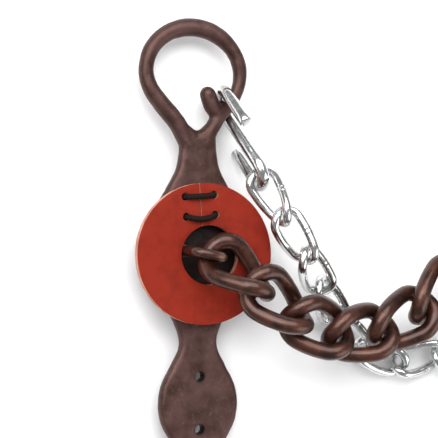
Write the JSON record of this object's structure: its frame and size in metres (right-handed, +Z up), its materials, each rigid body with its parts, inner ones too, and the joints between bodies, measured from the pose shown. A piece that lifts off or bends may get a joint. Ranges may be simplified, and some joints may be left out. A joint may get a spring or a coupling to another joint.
{
  "type": "chain-nosed hackamore",
  "caption": "Riding-tack hackamore: forged cheeks with teardrop loops, a heavy twisted nose chain, laced leather guards, a curb chain on hooks and rein rings.",
  "frame": {"origin": "on the surface it lies on, under the middle of the whole piece", "axes": "+X from the left cheek to the right, +Y up the left cheek towards its headstall loop, +Z up out of the surface"},
  "size_m": [0.2358, 0.2566, 0.0443],
  "materials": {
    "forged_steel": "antique brown, satin, with hammer marks and rubbed edges",
    "chain_steel": "antique brown, satin gloss on the wire",
    "chrome_wire": "polished bright plating",
    "guard_leather": "dyed red, matt, pale raw edge",
    "lace_cord": "waxed twisted black cord"
  },
  "bodies": {
    "left_cheek": {"left_cheek": "forged_steel", "left_staple": "forged_steel"},
    "left_guard": {"left_guard": "guard_leather", "left_outer_lace": "lace_cord", "left_inner_lace": "lace_cord"},
    "left_curb_hook": {"left_curb_hook": "chrome_wire"},
    "left_rein_ring": {"left_rein_ring": "forged_steel"},
    "right_cheek": {"right_cheek": "forged_steel", "right_staple": "forged_steel"},
    "right_guard": {"right_guard": "guard_leather", "right_outer_lace": "lace_cord", "right_inner_lace": "lace_cord"},
    "right_curb_hook": {"right_curb_hook": "chrome_wire"},
    "right_rein_ring": {"right_rein_ring": "forged_steel"},
    "nose_link_1": {"nose_link_1": "chain_steel"},
    "nose_link_2": {"nose_link_2": "chain_steel"},
    "nose_link_3": {"nose_link_3": "chain_steel"},
    "nose_link_4": {"nose_link_4": "chain_steel"},
    "nose_link_5": {"nose_link_5": "chain_steel"},
    "nose_link_6": {"nose_link_6": "chain_steel"},
    "nose_link_7": {"nose_link_7": "chain_steel"},
    "nose_link_8": {"nose_link_8": "chain_steel"},
    "nose_link_9": {"nose_link_9": "chain_steel"},
    "curb_link_1": {"curb_link_1": "chrome_wire"},
    "curb_link_2": {"curb_link_2": "chrome_wire"},
    "curb_link_3": {"curb_link_3": "chrome_wire"},
    "curb_link_4": {"curb_link_4": "chrome_wire"},
    "curb_link_5": {"curb_link_5": "chrome_wire"},
    "curb_link_6": {"curb_link_6": "chrome_wire"},
    "curb_link_7": {"curb_link_7": "chrome_wire"},
    "curb_link_8": {"curb_link_8": "chrome_wire"},
    "curb_link_9": {"curb_link_9": "chrome_wire"}
  },
  "joints": [
    {"name": "nose_link_1_swing", "type": "hinge", "parent": "left_cheek", "child": "nose_link_1", "pos_m": [-0.08354, 0.00633, 0.02001], "axis": [0, 0, 1], "range_deg": [-5, 7]},
    {"name": "nose_link_2_swing", "type": "hinge", "parent": "nose_link_1", "child": "nose_link_2", "pos_m": [-0.06721, -0.00838, 0.03473], "axis": [0.3579, -0.1582, -0.9203], "range_deg": [-5, 12]},
    {"name": "nose_link_3_swing", "type": "hinge", "parent": "nose_link_2", "child": "nose_link_3", "pos_m": [-0.04975, -0.02111, 0.03405], "axis": [-0.232, -0.2534, 0.9391], "range_deg": [-20, 10]},
    {"name": "nose_link_4_swing", "type": "hinge", "parent": "nose_link_3", "child": "nose_link_4", "pos_m": [-0.02969, -0.02804, 0.03035], "axis": [0.1736, 0.6925, -0.7002], "range_deg": [-5, 20]},
    {"name": "nose_link_5_swing", "type": "hinge", "parent": "nose_link_4", "child": "nose_link_5", "pos_m": [-0.00822, -0.02516, 0.02827], "axis": [0.1072, -0.7615, 0.6393], "range_deg": [-20, 5]},
    {"name": "nose_link_6_swing", "type": "hinge", "parent": "nose_link_5", "child": "nose_link_6", "pos_m": [0.01072, -0.0146, 0.02871], "axis": [-0.3375, 0.7238, -0.6018], "range_deg": [-15, 10]},
    {"name": "nose_link_7_swing", "type": "hinge", "parent": "nose_link_6", "child": "nose_link_7", "pos_m": [0.02521, 0.0013, 0.03049], "axis": [0.5765, -0.6472, 0.4988], "range_deg": [-12, 15]},
    {"name": "nose_link_8_swing", "type": "hinge", "parent": "nose_link_7", "child": "nose_link_8", "pos_m": [0.04115, 0.01545, 0.0302], "axis": [-0.5795, 0.6436, -0.5], "range_deg": [-10, 15]},
    {"name": "nose_link_9_swing", "type": "hinge", "parent": "nose_link_8", "child": "nose_link_9", "pos_m": [0.06011, 0.02539, 0.03064], "axis": [0.4468, -0.7886, 0.4226], "range_deg": [-15, 10]},
    {"name": "right_cheek_swing", "type": "hinge", "parent": "nose_link_9", "child": "right_cheek", "pos_m": [0.0743, 0.02908, 0.02001], "axis": [0, 0, 1], "range_deg": [-10, 6]},
    {"name": "left_curb_hook_swing", "type": "hinge", "parent": "left_cheek", "child": "left_curb_hook", "pos_m": [-0.0754, 0.07018, 0.00931], "axis": [0.6603, 0.751, 0], "range_deg": [0, 30]},
    {"name": "right_curb_hook_swing", "type": "hinge", "parent": "right_cheek", "child": "right_curb_hook", "pos_m": [0.05306, 0.08984, 0.00931], "axis": [0.802, -0.5973, 0], "range_deg": [0, 30]},
    {"name": "curb_link_1_swing", "type": "hinge", "parent": "left_curb_hook", "child": "curb_link_1", "pos_m": [-0.0639, 0.0377, 0.02177], "axis": [-0.2146, 0.6059, 0.766], "range_deg": [-8, 20]},
    {"name": "curb_link_2_swing", "type": "hinge", "parent": "curb_link_1", "child": "curb_link_2", "pos_m": [-0.05627, 0.02097, 0.02916], "axis": [-0.213, 0.3498, 0.9123], "range_deg": [-20, 20]},
    {"name": "curb_link_3_swing", "type": "hinge", "parent": "curb_link_2", "child": "curb_link_3", "pos_m": [-0.04482, 0.00472, 0.02616], "axis": [-0.2616, -0.0749, -0.9623], "range_deg": [-20, 20]},
    {"name": "curb_link_4_swing", "type": "hinge", "parent": "curb_link_3", "child": "curb_link_4", "pos_m": [-0.03388, -0.00843, 0.01592], "axis": [0.7259, 0.125, 0.6764], "range_deg": [-20, 20]},
    {"name": "curb_link_5_swing", "type": "hinge", "parent": "curb_link_4", "child": "curb_link_5", "pos_m": [-0.0232, -0.02216, 0.00667], "axis": [-0.7616, -0.1737, -0.6243], "range_deg": [-20, 20]},
    {"name": "curb_link_6_swing", "type": "hinge", "parent": "curb_link_5", "child": "curb_link_6", "pos_m": [-0.0098, -0.0368, 0.00518], "axis": [0.5831, 0.4091, 0.7018], "range_deg": [-20, 20]},
    {"name": "curb_link_7_swing", "type": "hinge", "parent": "curb_link_6", "child": "curb_link_7", "pos_m": [0.00929, -0.04288, 0.00549], "axis": [-0.2534, -0.6601, -0.7071], "range_deg": [-15, 20]},
    {"name": "curb_link_8_swing", "type": "hinge", "parent": "curb_link_7", "child": "curb_link_8", "pos_m": [0.0285, -0.03655, 0.00549], "axis": [-0.1711, 0.6861, 0.7071], "range_deg": [-15, 20]},
    {"name": "curb_link_9_swing", "type": "hinge", "parent": "curb_link_8", "child": "curb_link_9", "pos_m": [0.04635, -0.04625, 0.00549], "axis": [-0.2876, -0.646, -0.7071], "range_deg": [-20, 15]},
    {"name": "left_guard_turn", "type": "hinge", "parent": "left_cheek", "child": "left_guard", "pos_m": [-0.0886, 0.00768, 0.01701], "axis": [0, 0, 1], "range_deg": [-30, 60]},
    {"name": "right_guard_turn", "type": "hinge", "parent": "right_cheek", "child": "right_guard", "pos_m": [0.07896, 0.03145, 0.01701], "axis": [0, 0, 1], "range_deg": [-60, 30]},
    {"name": "left_rein_ring_swing", "type": "hinge", "parent": "left_cheek", "child": "left_rein_ring", "pos_m": [-0.0886, -0.09832, 0.00931], "axis": [0, 1, 0], "range_deg": [0, 115]},
    {"name": "right_rein_ring_swing", "type": "hinge", "parent": "right_cheek", "child": "right_rein_ring", "pos_m": [0.101, -0.07223, 0.00931], "axis": [0.2079, -0.9781, 0], "range_deg": [0, 115]}
  ]
}
